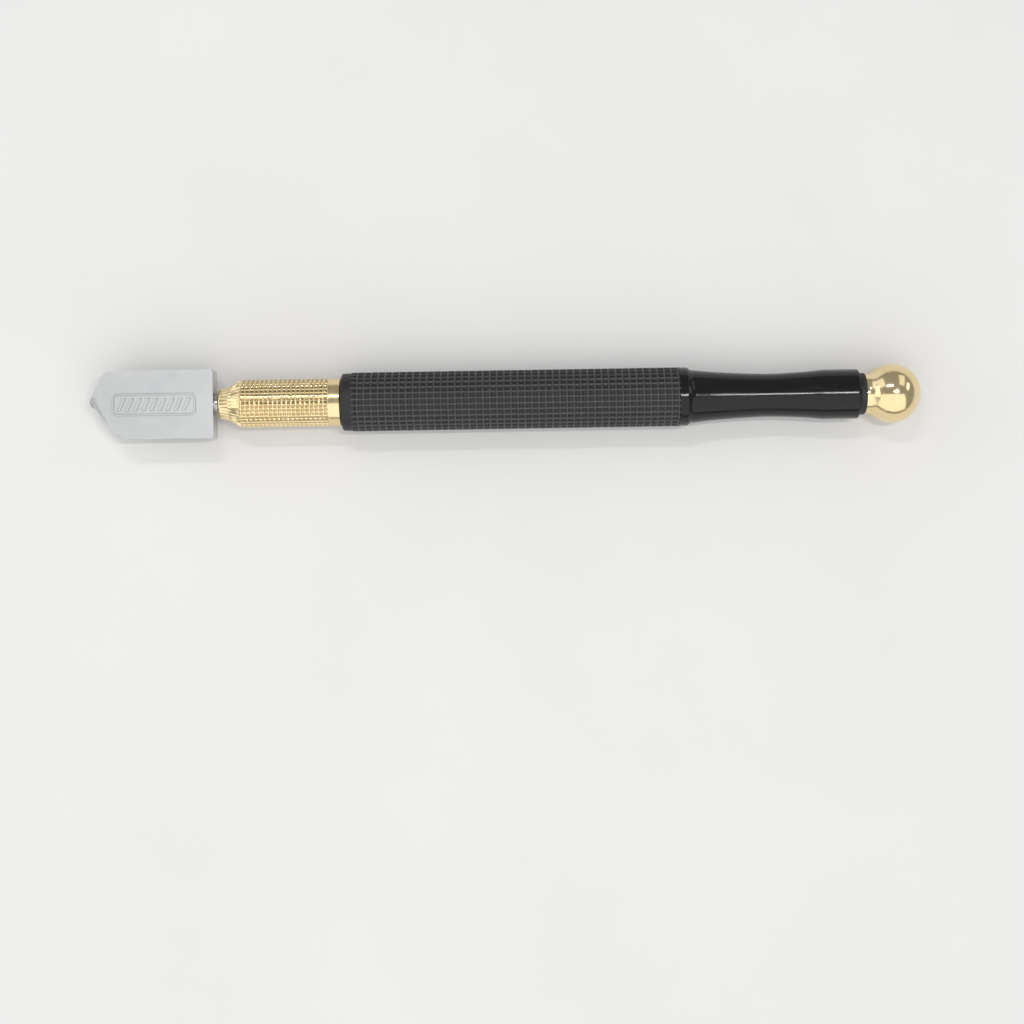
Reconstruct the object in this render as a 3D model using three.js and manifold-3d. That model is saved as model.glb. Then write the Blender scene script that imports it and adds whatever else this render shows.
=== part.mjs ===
// Oil-feed glass cutter: a pencil-shaped tool with a wide flat head that carries a carbide wheel,
// a sprung feed stem in a brass front barrel, a hollow black handle that holds the cutting oil,
// and a ball-ended brass filler cap. Millimetres, +Z up, lying on a table.
//
// Tool coordinates: x runs back from the rim of the wheel along the tool's axis, y crosses the
// flat head and z is its thickness. One group then lays the tool on the table, centred in x.

import * as THREE from 'three';
import { mergeVertices } from 'three/addons/utils/BufferGeometryUtils.js';
import Module from 'manifold-3d';

const wasm = await Module();
wasm.setup();

// ---------------------------------------------------------------- driving dimensions

const TOOL_LENGTH = 180;
const MAIN_SIDES = 32; // facets round the handle, barrel and cap
const SMALL_SIDES = 24; // facets round small turned pieces
const FIT_GAP = 0.05; // left between two pieces of one body that touch

// cutting wheel and its axle
const WHEEL_RADIUS = 1.6;
const WHEEL_WIDTH = 1.1;
const WHEEL_RIM_WIDTH = 0.12; // flat left at the sharp rim
const WHEEL_EDGE_DEPTH = 0.6; // how far in from the rim the ground bevels reach
const WHEEL_OFFSET = 1.0; // towards +y, where the two slopes of the nose meet
const WHEEL_BORE_RADIUS = 0.58;
const AXLE_RADIUS = 0.5;
const AXLE_RECESS = 0.08; // how far each end lies below the head's face

// flat head
const HEAD_THICKNESS = 6.2;
const HEAD_HALF_WIDTH = 7.35;
const HEAD_NOSE_X = 0.65;
const HEAD_REAR_X = 27.1;
const HEAD_BEVEL = 0.25;
const SLOT_WIDTH = 1.3;
const SLOT_FLOOR_X = 4.2;
const HEAD_BORE_RADIUS = 1.98;
const HEAD_BORE_END_X = 19.7;
const OIL_CHANNEL_RADIUS = 0.8;
const NOSE_RELIEF_START = [1.9, 0.85]; // each face slopes down to the nose from a line through here
const NOSE_RELIEF_SKEW = THREE.MathUtils.degToRad(28); // how far that line leans from square
const NOSE_RELIEF_SLOPE = 0.7;

// feed stem and what rides on it
const STEM_RADIUS = 1.9;
const STEM_FRONT_X = 20.0;
const STEM_REAR_X = 46.0;
const STEM_BORE_RADIUS = 0.85;
const STEM_BORE_END_X = 44.5;
const LOCK_GROOVE_X = 22.8; // middle of the groove that the lock screw's point rides in
const LOCK_GROOVE_WIDTH = 1.9;
const LOCK_GROOVE_RADIUS = 1.35;
const OIL_PORT_X = 33.6;
const OIL_PORT_RADIUS = 0.4;
const WICK_RADIUS = 0.6;
const WICK_FRONT_X = 4.0;
const WICK_REAR_X = 44.0;

// lock screw, in the head's underside
const SCREW_RADIUS = 1.2;
const SCREW_HOLE_RADIUS = 1.3;
const SCREW_POINT_RADIUS = 0.75;
const SCREW_SHOULDER_Z = 2.05; // where the threaded body ends and the point begins
const SCREW_TIP_Z = 1.5;
const SCREW_SLOT_WIDTH = 0.5;
const SCREW_SLOT_DEPTH = 0.45;

// brass front barrel
const NOSE_X = 27.9;
const NOSE_BORE_RADIUS = 2.0;
const NOSE_OUTLINE = [
  [NOSE_X, 2.7],
  [28.25, 3.2],
  [30.4, 3.7],
  [32.1, 4.6],
  [32.9, 4.9],
];
const CONE_END_X = 33.3;
const BARREL_RADIUS = 5.12;
const SHOULDER_X = 54.65; // rear face of the barrel, against the handle
const GLAND_X = 31.0; // front of the seal's counterbore
const GLAND_RADIUS = 3.0;
const CHAMBER_X = 34.0; // front of the spring chamber
const CHAMBER_RADIUS = 3.6;
const SPIGOT_RADIUS = 4.55;
const SPIGOT_END_X = 65.0;
const BARREL_GROOVE = { from: 55.35, to: 56.55, radius: 3.98 };

// spring and its seats
const COLLAR = { from: 34.95, to: 37.0, radius: 3.2 };
const SPRING_X = [37.1, 48.9];
const SPRING_MEAN_RADIUS = 2.75;
const SPRING_WIRE_RADIUS = 0.3;
const SPRING_TURNS = 7;
const WASHER_X = [49.0, 49.5];
const RETAINER_X = [49.6, 53.4];
const RETAINER_SLOT_WIDTH = 1.2;
const RETAINER_SLOT_DEPTH = 1.3;
const OIL_HOLE_RADIUS = 1.1;

// black handle: textured grip, then a smooth waisted tail, hollow all the way
const HANDLE_X = 54.75;
const LIP_RADIUS = 6.2;
const LIP_ROUND = 1.0;
const GRIP_X = [57.8, 129.4]; // the textured stretch behind the plain front lip
const GRIP_RADIUS = 6.35;
const TAIL_X = 130.1;
const TAIL_RADIUS = 5.78;
const WAIST_X = 146.4;
const WAIST_RADIUS = 4.68;
const TAIL_END_X = 166.45;
const TAIL_END_RADIUS = 5.26;
const RESERVOIR_RADIUS = 4.0;
const RESERVOIR_NECK_RADIUS = 3.3;
const HANDLE_SEAL_RADIUS = 4.85;
const HANDLE_THREAD_RADIUS = 4.7;
const MOUTH_RADIUS = 3.7;
const MOUTH_X = 160.9; // front end of the filler mouth's threaded bore

// filler cap
const GASKET_X = [166.5, 167.8];
const GASKET_RADIUS = 4.5;
const CAP_NECK_X = 167.85;
const CAP_NECK_RADIUS = 4.3;
const BALL_X = 173.9;
const BALL_LENGTH_RADIUS = TOOL_LENGTH - BALL_X;
const BALL_RADIUS = 6.4;
const CAP_THREAD_RADIUS = 3.45;
const CAP_THREAD_X = 161.5;
const CAP_TIP_RADIUS = 2.95;
const CAP_TIP_X = 157.5;
const CAP_GROOVE = { from: 158.6, to: 159.7, radius: 2.4 };
const CAP_RING_RADIUS = 3.2;

// ---------------------------------------------------------------- materials

function finish(color, roughness, metalness) {
  return new THREE.MeshStandardMaterial({ color, roughness, metalness });
}

const brass = finish(0xc9a564, 0.18, 1);
const satinZinc = finish(0xc8caca, 0.42, 0.9);
const steel = finish(0xb4b6b8, 0.3, 1);
const carbide = finish(0x6d7074, 0.35, 1);
const blackPlastic = finish(0x1d1f21, 0.38, 0);
const rubber = finish(0x161718, 0.7, 0);
const cotton = finish(0xe8e2d2, 0.95, 0);

// ---------------------------------------------------------------- shape helpers

// A turned piece about the x axis. The profile lists [x, radius] with the outside running
// towards +x. Radii are measured to the flats, and one flat faces straight down.
function turned(profile, sides) {
  const toCorner = 1 / Math.cos(Math.PI / sides);
  const points = profile.map(([x, radius]) => new THREE.Vector2(radius * toCorner, x));
  return new THREE.LatheGeometry(points, sides, Math.PI / sides).rotateZ(-Math.PI / 2);
}

function ringProfile(fromX, toX, innerRadius, outerRadius) {
  return [
    [fromX, innerRadius],
    [fromX, outerRadius],
    [toX, outerRadius],
    [toX, innerRadius],
    [fromX, innerRadius],
  ];
}

function rodProfile(fromX, toX, radius) {
  return [[fromX, 0], [fromX, radius], [toX, radius], [toX, 0]];
}

// A ring of round section, such as an O-ring.
function roundRing(middleX, innerRadius, outerRadius, sides) {
  const sectionRadius = (outerRadius - innerRadius) / 2;
  const sectionSides = 8;
  const profile = [];
  for (let i = 0; i <= sectionSides; i++) {
    const angle = (i / sectionSides) * 2 * Math.PI;
    const x = middleX - sectionRadius * Math.cos(angle);
    profile.push([x, innerRadius + sectionRadius * (1 + Math.sin(angle))]);
  }
  return turned(profile, sides);
}

// Points [x, radius] of an ellipse arc, from one angle to another in degrees; 0 is towards +x.
function arc(centreX, centreRadius, radiusX, radiusR, fromDegrees, toDegrees, steps) {
  const points = [];
  for (let i = 0; i <= steps; i++) {
    const angle = THREE.MathUtils.degToRad(fromDegrees + ((toDegrees - fromDegrees) * i) / steps);
    points.push([centreX + radiusX * Math.cos(angle), centreRadius + radiusR * Math.sin(angle)]);
  }
  return points;
}

// A cylinder along z between two heights.
function uprightPin(x, y, fromZ, toZ, radius) {
  const pin = new THREE.CylinderGeometry(radius, radius, toZ - fromZ, SMALL_SIDES);
  return pin.rotateX(Math.PI / 2).translate(x, y, (fromZ + toZ) / 2);
}

function block(fromX, toX, sizeY, fromZ, toZ) {
  const box = new THREE.BoxGeometry(toX - fromX, sizeY, toZ - fromZ);
  return box.translate((fromX + toX) / 2, 0, (fromZ + toZ) / 2);
}

function toSolid(geometry) {
  const bare = geometry.clone();
  bare.deleteAttribute('normal');
  bare.deleteAttribute('uv');
  const merged = mergeVertices(bare, 1e-4);
  const vertProperties = new Float32Array(merged.attributes.position.array);
  const triVerts = new Uint32Array(merged.index.array);
  const mesh = new wasm.Mesh({ numProp: 3, vertProperties, triVerts });
  return new wasm.Manifold(mesh);
}

function cut(geometry, tools) {
  let solid = toSolid(geometry);
  for (const tool of tools) solid = solid.subtract(toSolid(tool));
  const mesh = solid.getMesh();
  const result = new THREE.BufferGeometry();
  result.setAttribute('position', new THREE.BufferAttribute(mesh.vertProperties, 3));
  result.setIndex(new THREE.BufferAttribute(mesh.triVerts, 1));
  result.computeVertexNormals();
  return result;
}

const tool = new THREE.Group();
tool.position.set(-TOOL_LENGTH / 2, 0, BALL_RADIUS);

function add(name, geometry, material) {
  const mesh = new THREE.Mesh(geometry, material);
  mesh.name = name;
  tool.add(mesh);
}

// ---------------------------------------------------------------- head and wheel

// Outline of the flat head: a blunt nose off the centre line, a steep upper slope and a longer
// lower one, and two straight guide edges.
function headOutline() {
  const outline = [
    [HEAD_NOSE_X, 1.26],
    [HEAD_NOSE_X, 0.37],
    [6.4, -6.45],
    [7.6, -HEAD_HALF_WIDTH],
    [HEAD_REAR_X, -HEAD_HALF_WIDTH],
    [HEAD_REAR_X, HEAD_HALF_WIDTH],
    [4.5, HEAD_HALF_WIDTH],
    [3.5, 6.75],
  ];
  return new THREE.Shape(outline.map(([x, y]) => new THREE.Vector2(x, y)));
}

// A wedge that slopes one face of the plate down towards the nose; side is 1 above, -1 below.
function noseRelief(side) {
  const reach = 3;
  const face = HEAD_THICKNESS / 2;
  const wedge = new THREE.Shape();
  wedge.moveTo(0, face);
  wedge.lineTo(-reach, face + 1);
  wedge.lineTo(-reach, face - NOSE_RELIEF_SLOPE * reach);
  const width = 2 * HEAD_HALF_WIDTH;
  const solid = new THREE.ExtrudeGeometry(wedge, { depth: width, bevelEnabled: false });
  solid.translate(0, 0, -width / 2).rotateX((side * Math.PI) / 2).rotateZ(NOSE_RELIEF_SKEW);
  return solid.translate(...NOSE_RELIEF_START, 0);
}

function headCasting() {
  const plate = new THREE.ExtrudeGeometry(headOutline(), {
    depth: HEAD_THICKNESS - 2 * HEAD_BEVEL,
    bevelEnabled: true,
    bevelThickness: HEAD_BEVEL,
    bevelSize: HEAD_BEVEL,
    bevelOffset: -HEAD_BEVEL,
    bevelSegments: 1,
  });
  plate.translate(0, 0, HEAD_BEVEL - HEAD_THICKNESS / 2);
  const halfSlot = SLOT_WIDTH / 2;
  const through = HEAD_THICKNESS;
  return cut(plate, [
    turned(rodProfile(HEAD_BORE_END_X, HEAD_REAR_X, HEAD_BORE_RADIUS), SMALL_SIDES),
    turned(rodProfile(SLOT_FLOOR_X - 1, HEAD_BORE_END_X + 1, OIL_CHANNEL_RADIUS), SMALL_SIDES),
    block(HEAD_NOSE_X - 1, SLOT_FLOOR_X, 4 * HEAD_HALF_WIDTH, -halfSlot, halfSlot),
    uprightPin(WHEEL_RADIUS, WHEEL_OFFSET, -through, through, AXLE_RADIUS + FIT_GAP),
    uprightPin(LOCK_GROOVE_X, 0, -through, 0, SCREW_HOLE_RADIUS),
    noseRelief(1),
    noseRelief(-1),
  ]);
}

// A disc with a round bore and two ground bevels that meet at the cutting rim.
function cuttingWheel() {
  const shoulder = WHEEL_RADIUS - WHEEL_EDGE_DEPTH;
  const halfWidth = WHEEL_WIDTH / 2;
  const halfRim = WHEEL_RIM_WIDTH / 2;
  const profile = [
    [-halfWidth, WHEEL_BORE_RADIUS],
    [-halfWidth, shoulder],
    [-halfRim, WHEEL_RADIUS],
    [halfRim, WHEEL_RADIUS],
    [halfWidth, shoulder],
    [halfWidth, WHEEL_BORE_RADIUS],
    [-halfWidth, WHEEL_BORE_RADIUS],
  ];
  const disc = turned(profile, MAIN_SIDES).rotateY(-Math.PI / 2);
  return disc.translate(WHEEL_RADIUS, WHEEL_OFFSET, 0);
}

// A plain pin whose ends are dressed down to the head's sloping faces.
function wheelAxle() {
  const end = HEAD_THICKNESS / 2 - AXLE_RECESS;
  const pin = uprightPin(WHEEL_RADIUS, WHEEL_OFFSET, -end, end, AXLE_RADIUS);
  return cut(pin, [noseRelief(1), noseRelief(-1)]);
}

// A short slotted grub screw: threaded body below, plain point that rides in the stem's groove.
function lockScrew() {
  const face = HEAD_THICKNESS / 2 - FIT_GAP;
  const profile = [
    [-face, 0],
    [-face, SCREW_RADIUS],
    [-SCREW_SHOULDER_Z, SCREW_RADIUS],
    [-SCREW_SHOULDER_Z, SCREW_POINT_RADIUS],
    [-SCREW_TIP_Z, SCREW_POINT_RADIUS],
    [-SCREW_TIP_Z, 0],
  ];
  const body = turned(profile, SMALL_SIDES).rotateY(-Math.PI / 2);
  const slot = new THREE.BoxGeometry(4 * SCREW_RADIUS, SCREW_SLOT_WIDTH, 2 * SCREW_SLOT_DEPTH);
  return cut(body.translate(LOCK_GROOVE_X, 0, 0), [slot.translate(LOCK_GROOVE_X, 0, -face)]);
}

add('head_casting', headCasting(), satinZinc);
add('wheel_axle', wheelAxle(), steel);
add('cutting_wheel', cuttingWheel(), carbide);
add('lock_screw', lockScrew(), steel);

// ---------------------------------------------------------------- feed stem

// A tube, open in front and blind behind, with a lock groove and a pair of oil ports. Pressing
// the wheel on the glass slides it back, and the ports leave the gland and meet the oil.
function stemTube() {
  const grooveFrom = LOCK_GROOVE_X - LOCK_GROOVE_WIDTH / 2;
  const grooveTo = LOCK_GROOVE_X + LOCK_GROOVE_WIDTH / 2;
  const profile = [
    [STEM_FRONT_X, STEM_BORE_RADIUS],
    [STEM_FRONT_X, STEM_RADIUS],
    [grooveFrom, STEM_RADIUS],
    [grooveFrom, LOCK_GROOVE_RADIUS],
    [grooveTo, LOCK_GROOVE_RADIUS],
    [grooveTo, STEM_RADIUS],
    [STEM_REAR_X - 0.4, STEM_RADIUS],
    [STEM_REAR_X, STEM_RADIUS - 0.4],
    [STEM_REAR_X, 0],
    [STEM_BORE_END_X, 0],
    [STEM_BORE_END_X, STEM_BORE_RADIUS],
    [STEM_FRONT_X, STEM_BORE_RADIUS],
  ];
  const ports = uprightPin(OIL_PORT_X, 0, -2 * STEM_RADIUS, 2 * STEM_RADIUS, OIL_PORT_RADIUS);
  return cut(turned(profile, SMALL_SIDES), [ports]);
}

function onStem(fromX, toX, outerRadius) {
  return turned(ringProfile(fromX, toX, STEM_RADIUS + FIT_GAP, outerRadius), SMALL_SIDES);
}

add('stem_tube', stemTube(), steel);
add('stem_collar', onStem(COLLAR.from, COLLAR.to, COLLAR.radius), brass);
add('stem_seal_washer', onStem(CHAMBER_X + FIT_GAP, COLLAR.from - FIT_GAP, COLLAR.radius), rubber);
add('oil_wick', turned(rodProfile(WICK_FRONT_X, WICK_REAR_X, WICK_RADIUS), SMALL_SIDES), cotton);

// ---------------------------------------------------------------- brass front barrel

// A turned nose cone and barrel with a threaded spigot behind its shoulder. Inside, from the
// front: the stem's guide bore, the seal's counterbore and the spring chamber.
function frontBarrel() {
  const profile = [
    [NOSE_X, NOSE_BORE_RADIUS],
    ...NOSE_OUTLINE,
    [CONE_END_X, BARREL_RADIUS],
    [SHOULDER_X, BARREL_RADIUS],
    [SHOULDER_X, SPIGOT_RADIUS],
    [BARREL_GROOVE.from, SPIGOT_RADIUS],
    [BARREL_GROOVE.from, BARREL_GROOVE.radius],
    [BARREL_GROOVE.to, BARREL_GROOVE.radius],
    [BARREL_GROOVE.to, SPIGOT_RADIUS],
    [SPIGOT_END_X - 0.4, SPIGOT_RADIUS],
    [SPIGOT_END_X, SPIGOT_RADIUS - 0.4],
    [SPIGOT_END_X, CHAMBER_RADIUS],
    [CHAMBER_X, CHAMBER_RADIUS],
    [CHAMBER_X, GLAND_RADIUS],
    [GLAND_X, GLAND_RADIUS],
    [GLAND_X, NOSE_BORE_RADIUS],
    [NOSE_X, NOSE_BORE_RADIUS],
  ];
  return turned(profile, MAIN_SIDES);
}

// The nose seal, then the bush that holds it in and gives the stem's washer a seat.
const SEAL_X = GLAND_X + 0.6;
const BUSH_X = [GLAND_X + 1.2, CHAMBER_X];
const bushProfile = ringProfile(...BUSH_X, NOSE_BORE_RADIUS, GLAND_RADIUS - FIT_GAP);
const barrelRing = roundRing(
  (BARREL_GROOVE.from + BARREL_GROOVE.to) / 2,
  BARREL_GROOVE.radius + FIT_GAP,
  HANDLE_SEAL_RADIUS - FIT_GAP,
  MAIN_SIDES,
);

add('front_barrel', frontBarrel(), brass);
add('nose_o_ring', roundRing(SEAL_X, NOSE_BORE_RADIUS, GLAND_RADIUS - FIT_GAP, SMALL_SIDES), rubber);
add('gland_bush', turned(bushProfile, SMALL_SIDES), brass);
add('barrel_o_ring', barrelRing, rubber);

// A compression spring of round wire, with its first and last turns cut square to its seats.
function feedSpring() {
  const [fromX, toX] = SPRING_X;
  const rise = toX - fromX - 2 * SPRING_WIRE_RADIUS;
  class Helix extends THREE.Curve {
    getPoint(t) {
      const angle = t * SPRING_TURNS * 2 * Math.PI;
      const x = fromX + SPRING_WIRE_RADIUS + rise * t;
      const y = SPRING_MEAN_RADIUS * Math.cos(angle);
      return new THREE.Vector3(x, y, SPRING_MEAN_RADIUS * Math.sin(angle));
    }
  }
  const wire = new THREE.Shape();
  wire.absarc(0, 0, SPRING_WIRE_RADIUS, 0, 2 * Math.PI);
  return new THREE.ExtrudeGeometry(wire, {
    steps: SPRING_TURNS * 14,
    extrudePath: new Helix(),
    curveSegments: 3,
  });
}

// A threaded plug behind the spring, with an oil hole through it and a screwdriver slot.
function springRetainer() {
  const [fromX, toX] = RETAINER_X;
  const plug = turned(ringProfile(fromX, toX, OIL_HOLE_RADIUS, CHAMBER_RADIUS - 0.08), SMALL_SIDES);
  const slotHeight = RETAINER_SLOT_WIDTH / 2;
  return cut(plug, [
    block(toX - RETAINER_SLOT_DEPTH, toX + 1, 3 * CHAMBER_RADIUS, -slotHeight, slotHeight),
  ]);
}

const washerProfile = ringProfile(...WASHER_X, OIL_HOLE_RADIUS, CHAMBER_RADIUS - 0.15);

add('feed_spring', feedSpring(), steel);
add('spring_washer', turned(washerProfile, SMALL_SIDES), steel);
add('spring_retainer', springRetainer(), brass);

// ---------------------------------------------------------------- handle

// Outer side of the smooth tail: it narrows to a waist and swells again before its rear end.
function tailCurve() {
  const stations = [
    [TAIL_X, TAIL_RADIUS],
    [136.6, 5.15],
    [WAIST_X, WAIST_RADIUS],
    [154.0, 4.88],
    [158.8, TAIL_END_RADIUS],
  ];
  const curve = new THREE.SplineCurve(stations.map(([x, r]) => new THREE.Vector2(x, r)));
  return curve.getPoints(12).map((point) => [point.x, point.y]);
}

function handleBody() {
  const [gripFrom, gripTo] = GRIP_X;
  const endRound = 0.5;
  const outside = [
    ...arc(HANDLE_X + LIP_ROUND, LIP_RADIUS - LIP_ROUND, LIP_ROUND, LIP_ROUND, 180, 90, 4),
    [gripFrom, LIP_RADIUS],
    [gripFrom + 0.2, GRIP_RADIUS],
    [gripTo, GRIP_RADIUS],
    ...tailCurve(),
    ...arc(TAIL_END_X - endRound, TAIL_END_RADIUS - endRound, endRound, endRound, 90, 0, 2),
  ];
  const inside = [
    [TAIL_END_X, MOUTH_RADIUS],
    [MOUTH_X, MOUTH_RADIUS],
    [MOUTH_X, RESERVOIR_NECK_RADIUS],
    [141.5, RESERVOIR_NECK_RADIUS],
    [136.0, RESERVOIR_RADIUS],
    [67.2, RESERVOIR_RADIUS],
    [66.5, HANDLE_THREAD_RADIUS],
    [57.0, HANDLE_THREAD_RADIUS],
    [57.0, HANDLE_SEAL_RADIUS],
    [HANDLE_X, HANDLE_SEAL_RADIUS],
  ];
  return turned([...outside, ...inside, outside[0]], MAIN_SIDES);
}

add('handle_body', handleBody(), blackPlastic);

// ---------------------------------------------------------------- filler cap

// A ball on a short flared neck, with a threaded spigot and a plain tip that carries a seal.
function ballCap() {
  const flareDegrees = 128; // where the neck's flare meets the ball
  const profile = [
    [CAP_TIP_X, 0],
    [CAP_TIP_X, CAP_TIP_RADIUS - 0.3],
    [CAP_TIP_X + 0.3, CAP_TIP_RADIUS],
    [CAP_GROOVE.from, CAP_TIP_RADIUS],
    [CAP_GROOVE.from, CAP_GROOVE.radius],
    [CAP_GROOVE.to, CAP_GROOVE.radius],
    [CAP_GROOVE.to, CAP_TIP_RADIUS],
    [CAP_THREAD_X - 0.4, CAP_TIP_RADIUS],
    [CAP_THREAD_X, CAP_THREAD_RADIUS],
    [CAP_NECK_X, CAP_THREAD_RADIUS],
    [CAP_NECK_X, CAP_NECK_RADIUS],
    [CAP_NECK_X + 0.8, CAP_NECK_RADIUS + 0.1],
    ...arc(BALL_X, 0, BALL_LENGTH_RADIUS, BALL_RADIUS, flareDegrees, 90, 5),
    ...arc(BALL_X, 0, BALL_LENGTH_RADIUS, BALL_RADIUS, 75, 15, 4),
    [TOOL_LENGTH, 0],
  ];
  return turned(profile, MAIN_SIDES);
}

const gasketProfile = ringProfile(...GASKET_X, CAP_THREAD_RADIUS + 0.15, GASKET_RADIUS);
const capRing = roundRing(
  (CAP_GROOVE.from + CAP_GROOVE.to) / 2,
  CAP_GROOVE.radius + FIT_GAP,
  CAP_RING_RADIUS,
  SMALL_SIDES,
);

add('cap_gasket', turned(gasketProfile, MAIN_SIDES), rubber);
add('ball_cap', ballCap(), brass);
add('cap_spigot_o_ring', capRing, rubber);

const cutter = new THREE.Group();
cutter.add(tool);

export default cutter;
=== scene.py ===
"""Looks of an oil-feed glass cutter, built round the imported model.

Pieces are drawn in millimetres in the tool's own frame: x runs back from the rim of the wheel
along the tool's axis, y crosses the flat head and z is its thickness. TOOL carries them into
the row frame, in metres.
"""

import math

import bmesh
import bpy
import numpy as np
from mathutils import Matrix, Vector


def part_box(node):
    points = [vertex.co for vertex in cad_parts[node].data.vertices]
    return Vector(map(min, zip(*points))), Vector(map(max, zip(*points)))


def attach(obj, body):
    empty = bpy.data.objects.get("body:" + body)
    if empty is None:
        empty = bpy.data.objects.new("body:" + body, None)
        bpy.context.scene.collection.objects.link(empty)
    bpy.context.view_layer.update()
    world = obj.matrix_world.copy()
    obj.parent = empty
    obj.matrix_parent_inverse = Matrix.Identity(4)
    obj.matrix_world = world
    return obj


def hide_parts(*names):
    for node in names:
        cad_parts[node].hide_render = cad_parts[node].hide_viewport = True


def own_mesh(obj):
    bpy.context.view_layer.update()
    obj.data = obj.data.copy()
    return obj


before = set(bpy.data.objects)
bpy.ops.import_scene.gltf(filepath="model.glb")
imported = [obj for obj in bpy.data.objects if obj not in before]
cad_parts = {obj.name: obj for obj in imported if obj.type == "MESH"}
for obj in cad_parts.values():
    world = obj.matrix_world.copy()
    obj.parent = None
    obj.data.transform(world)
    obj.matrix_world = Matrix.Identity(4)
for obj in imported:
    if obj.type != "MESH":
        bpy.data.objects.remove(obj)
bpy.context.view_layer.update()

MM = 0.001
LOW, HIGH = 0, 1
X, Y, Z = 0, 1, 2


def middle(node, axis):
    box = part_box(node)
    return (box[LOW][axis] + box[HIGH][axis]) / 2


TIP_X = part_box("cutting_wheel")[LOW][X]
AXIS_Z = middle("handle_body", Z)
TOOL = Matrix.Translation((TIP_X, 0, AXIS_Z)) @ Matrix.Scale(MM, 4)


def station(node, end):
    """Where a CAD node begins (LOW) or ends (HIGH) along the tool, in mm."""
    return (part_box(node)[end][X] - TIP_X) / MM


# ---------------------------------------------------------------- sizes, in mm along the tool

WHEEL_Y = middle("cutting_wheel", Y) / MM
WHEEL_X = (middle("cutting_wheel", X) - TIP_X) / MM
WHEEL_RADIUS = WHEEL_X
HEAD_HALF = (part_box("head_casting")[HIGH][Z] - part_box("head_casting")[LOW][Z]) / 2 / MM
HEAD_HALF_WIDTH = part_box("head_casting")[HIGH][Y] / MM
HEAD_FRONT = station("head_casting", LOW)
HEAD_REAR = station("head_casting", HIGH)
NOSE = station("front_barrel", LOW)
BARREL_RADIUS = 5.12
SPIGOT_END = station("front_barrel", HIGH)
HANDLE_FRONT = station("handle_body", LOW)
HANDLE_REAR = station("handle_body", HIGH)
CAP_TIP = station("ball_cap", LOW)
CAP_END = station("ball_cap", HIGH)
LOCK_X = (middle("lock_screw", X) - TIP_X) / MM


# ---------------------------------------------------------------- material helpers


class Look:
    """A Principled material whose nodes are added by short calls."""

    def __init__(self, name, color, roughness, metallic=0.0):
        self.material = bpy.data.materials.new(name)
        self.material.use_nodes = True
        self.nodes = self.material.node_tree.nodes
        self.links = self.material.node_tree.links
        self.shader = self.nodes["Principled BSDF"]
        self.shader.inputs["Base Color"].default_value = (*color, 1)
        self.shader.inputs["Roughness"].default_value = roughness
        self.shader.inputs["Metallic"].default_value = metallic
        self.coords = self.nodes.new("ShaderNodeTexCoord").outputs["Object"]

    def node(self, kind, inputs=None, **settings):
        made = self.nodes.new(kind)
        for key, value in settings.items():
            setattr(made, key, value)
        for key, value in (inputs or {}).items():
            socket = made.inputs[key]
            if isinstance(value, bpy.types.NodeSocket):
                self.links.new(value, socket)
            else:
                socket.default_value = value
        return made

    def noise(self, size_mm, detail=3.0, stretch=(1, 1, 1), rough=0.55):
        """Noise from 0 to 1 with blobs of about size_mm, drawn out by stretch."""
        scale = [1 / (size_mm * MM * s) for s in stretch]
        mapped = self.node("ShaderNodeMapping", {"Vector": self.coords, "Scale": scale})
        made = self.node(
            "ShaderNodeTexNoise",
            {"Vector": mapped.outputs[0], "Scale": 1.0, "Detail": detail, "Roughness": rough},
        )
        return made.outputs["Fac"]

    def span(self, value, low, high, to_low=0.0, to_high=1.0):
        """Maps low..high of a value to to_low..to_high, clamped."""
        ends = {"From Min": low, "From Max": high, "To Min": to_low, "To Max": to_high}
        return self.node("ShaderNodeMapRange", {"Value": value, **ends}).outputs[0]

    def math(self, operation, a, b):
        return self.node("ShaderNodeMath", {0: a, 1: b}, operation=operation).outputs[0]

    def mix(self, factor, a, b):
        """Mixes two colours."""
        made = self.node("ShaderNodeMix", data_type="RGBA")
        for index, value in ((0, factor), (6, a), (7, b)):
            if isinstance(value, bpy.types.NodeSocket):
                self.links.new(value, made.inputs[index])
            elif index:
                made.inputs[index].default_value = (*value, 1)
            else:
                made.inputs[index].default_value = value
        return made.outputs[2]

    def pointiness(self):
        return self.node("ShaderNodeNewGeometry").outputs["Pointiness"]

    def openness(self, reach_mm):
        """1 on open faces, less in inner corners, measured at each point and not per vertex."""
        made = self.node("ShaderNodeAmbientOcclusion", {"Distance": reach_mm * MM}, samples=8)
        return made.outputs["AO"]

    def edge(self, radius_mm):
        """1 beside an edge, 0 further than radius_mm from one."""
        rounded = self.node("ShaderNodeBevel", {"Radius": radius_mm * MM}, samples=6).outputs[0]
        plain = self.node("ShaderNodeNewGeometry").outputs["Normal"]
        alike = self.node("ShaderNodeVectorMath", {0: rounded, 1: plain}, operation="DOT_PRODUCT")
        return self.span(alike.outputs["Value"], 0.90, 0.995, 1.0, 0.0)

    def attribute(self, name):
        return self.node("ShaderNodeAttribute", attribute_name=name).outputs["Fac"]

    def color(self, value):
        self.links.new(value, self.shader.inputs["Base Color"])

    def roughness(self, value):
        self.links.new(value, self.shader.inputs["Roughness"])

    def bump(self, height, depth_mm, strength=1.0):
        made = self.node(
            "ShaderNodeBump", {"Height": height, "Strength": strength, "Distance": depth_mm * MM}
        )
        if self.shader.inputs["Normal"].links:
            self.links.new(self.shader.inputs["Normal"].links[0].from_socket, made.inputs["Normal"])
        self.links.new(made.outputs[0], self.shader.inputs["Normal"])


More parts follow.
